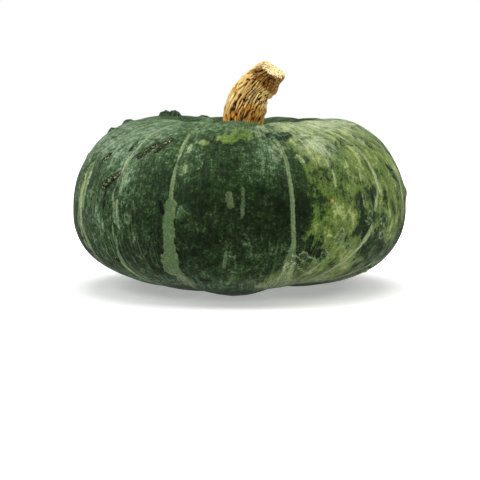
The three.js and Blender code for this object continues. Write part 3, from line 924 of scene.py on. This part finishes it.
def bark(angle, climb):
    """Distance of the bark from the stem's middle line in mm, and how deep in a furrow it is."""
    taper = np.interp(climb, *np.array(STEM_RADII).T)
    taper += 0.5 * np.sin(2 * angle + 5 * climb) + 0.4 * np.sin(3 * angle - 7 * climb + 1)
    on_right = np.maximum(np.cos(angle), 0)
    on_left = np.maximum(-np.cos(angle), 0)
    for place, reach, rise in STEM_SWELLS:
        taper += rise * np.exp(-((climb - place) / reach) ** 2) * on_right
    taper -= 1.3 * smooth_step(0.84, 1, climb) * on_left
    twist = 0.5 * np.sin(9 * climb) + 0.9 * climb
    taper += 0.33 * np.cos(RIDGES * (angle + twist))
    turned = angle - 0.6 * climb
    drawn_out = rod_places(turned, climb, 0.15)
    drawn_out += 0.9 * np.column_stack([skin_noise(drawn_out, 5, seed) for seed in (11, 12, 13)])
    bent = rod_places(turned, climb, 0.5)
    wander = 0.2 * skin_noise(bent, 6, 31) + 0.1 * skin_noise(bent, 2.6, 32)
    wrinkles = 1 - smooth_step(0.05, 0.8, np.abs(np.sin(WRINKLES * (turned + wander))))
    depth = wrinkles * np.clip(0.85 + 1.1 * skin_noise(bent, 4, 33), 0, 1)
    for grain, width, share_of_depth in ((1.9, 0.1, 1), (1.2, 0.16, 0.85)):
        line = 1 - smooth_step(0.01, width, np.abs(skin_noise(drawn_out, grain, 5 + grain)))
        depth = np.maximum(depth, share_of_depth * line)
    crumbs = skin_noise(drawn_out, 0.9, 8)
    knots = skin_noise(drawn_out, 3, 17)
    return taper + 0.5 - FURROW_DEPTH * depth + 0.6 * crumbs + 0.5 * knots, depth


def stem_places(angle, share):
    """Vertices of the stem in mm above the fruit's widest place, and the depth in furrows."""
    climb = np.clip((FOOT_SHARE - share) / (FOOT_SHARE - CUT_SHARE), 0, 1)
    reach = np.clip(share / CUT_SHARE, 0, 1) * np.clip((1 - share) / (1 - FOOT_SHARE), 0, 1)
    middle = np.column_stack([np.interp(climb, stem_shares, axis) for axis in stem_points.T])
    along = np.column_stack([np.interp(climb, stem_shares, axis) for axis in stem_along.T])
    upright = smooth_step(0, 0.15, climb)[:, None]
    facing = unit(np.array([0, 0, 1]) * (1 - upright) + along * upright)
    tilt = smooth_step(0.72, 1, climb)[:, None]
    facing = unit(facing * (1 - tilt) + CUT_FACING * tilt)
    across = unit(np.cross([0, 1, 0], facing))
    away = np.cross(facing, across)
    radius, depth = bark(angle, climb)
    out = across * np.cos(angle)[:, None] + away * np.sin(angle)[:, None]
    places = middle + out * (radius * reach)[:, None]
    on_cut = share < CUT_SHARE * 1.05
    torn = skin_noise(places[on_cut], 4, 21) + 0.9 * skin_noise(places[on_cut], 1.5, 22)
    torn += 0.8 * smooth_step(0, 0.3, reach[on_cut]) - 0.9 * smooth_step(0.8, 1, reach[on_cut])
    places[on_cut] += torn[:, None] * CUT_FACING
    return places, depth


stem = new_ball("squash_stem", 360, 240)
azimuth, share = ball_places(stem.data)
stem_angle = np.radians(azimuth - 90)
places, furrow = stem_places(stem_angle, share)
places[:, 2] += WIDEST_HEIGHT / MM
reshape(stem, places * MM)
climb = (FOOT_SHARE - share) / (FOOT_SHARE - CUT_SHARE)
# Painted shade under the torn end, strongest where the bent stem's right side faces down
on_lower_side = 0.5 + 0.5 * np.cos(stem_angle + 0.8)
store(stem.data, "furrow", furrow)
store(stem.data, "cut", (CUT_SHARE - share) / CUT_SHARE)
store(stem.data, "climb", climb)
store(stem.data, "shade_under_cut", smooth_step(0.66, 0.86, climb) * on_lower_side)
store(stem.data, "flow", rod_places(stem_angle, -share, 1))
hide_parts("stem")
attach(stem, "root")

BARK_TAN = paint(230, 186, 98)
BARK_CREAM = paint(242, 217, 146)
FIBRE_CREAM = paint(255, 248, 206)
FOOT_ORANGE = paint(255, 174, 54)
# Painted shade under the torn end, and the tan specks in it
UNDER_CUT_SHADE = paint(34, 38, 12)
UNDER_CUT_TAN = paint(196, 140, 58)
FURROW_BROWN = paint(146, 82, 18)
# Painted shade deep in the furrows
FURROW_SHADE_BLACK = paint(40, 20, 4)
PITH_TAN = paint(176, 128, 50)
PITH_CREAM = paint(255, 247, 196)


def stem_material():
    """Tan bark with brown furrows that painted shade turns near black at their deepest, painted shade
    under the torn end, orange at the foot, with pale pith where it is torn off.
    """
    material, tree, shader = new_material("dry_corky_stem")
    flow = kept(tree, "flow", "Vector")
    place = place_in_mm(tree)
    broad = speckle(tree, place, 7, 4)
    fine = speckle(tree, place, 1.1, 4, 0.7)
    fibres = speckle(tree, flow, 0.8, 4, 0.65, (1, 1, 0.15))
    furrow = plus(tree, kept(tree, "furrow"), about_zero(tree, (fine, 0.7)))
    climb = kept(tree, "climb")

    colour = blend(tree, ramp(tree, broad, 0.35, 0.65), BARK_TAN, BARK_CREAM)
    colour = blend(tree, ramp(tree, fibres, 0.45, 0.7, 0, 0.5), colour, FIBRE_CREAM)
    near_foot = ramp(tree, plus(tree, climb, about_zero(tree, (broad, 0.5))), 0.56, 0.1)
    colour = blend(tree, times(tree, near_foot, 0.8), colour, FOOT_ORANGE)
    # Painted shade in a band under the torn end: dark green with tan specks
    shade_under_cut = plus(tree, kept(tree, "shade_under_cut"), about_zero(tree, (broad, 1.2), (fine, 1)))
    shade_under_cut_paint = blend(tree, ramp(tree, fine, 0.44, 0.58), UNDER_CUT_SHADE, UNDER_CUT_TAN)
    colour = blend(tree, ramp(tree, shade_under_cut, 0.32, 0.56, 0, 0.9), colour, shade_under_cut_paint)
    # Brown in the furrows, and painted shade that turns their deepest parts near black
    colour = blend(tree, ramp(tree, furrow, 0.15, 0.5, 0, 0.8), colour, FURROW_BROWN)
    colour = blend(tree, ramp(tree, furrow, 0.45, 0.8, 0, 0.97), colour, FURROW_SHADE_BLACK)
    cut = plus(tree, kept(tree, "cut"), about_zero(tree, (fine, 0.24)))
    pith = blend(tree, ramp(tree, fine, 0.38, 0.56), PITH_TAN, PITH_CREAM)
    colour = blend(tree, ramp(tree, cut, -0.02, 0.08), colour, pith)
    tree.links.new(colour, shader.inputs["Base Color"])
    shader.inputs["Roughness"].default_value = 0.88

    height = plus(tree, times(tree, fine, 0.5), times(tree, fibres, 0.5))
    add_bump(tree, shader, height, 0.8)
    return material


stem.data.materials.append(stem_material())
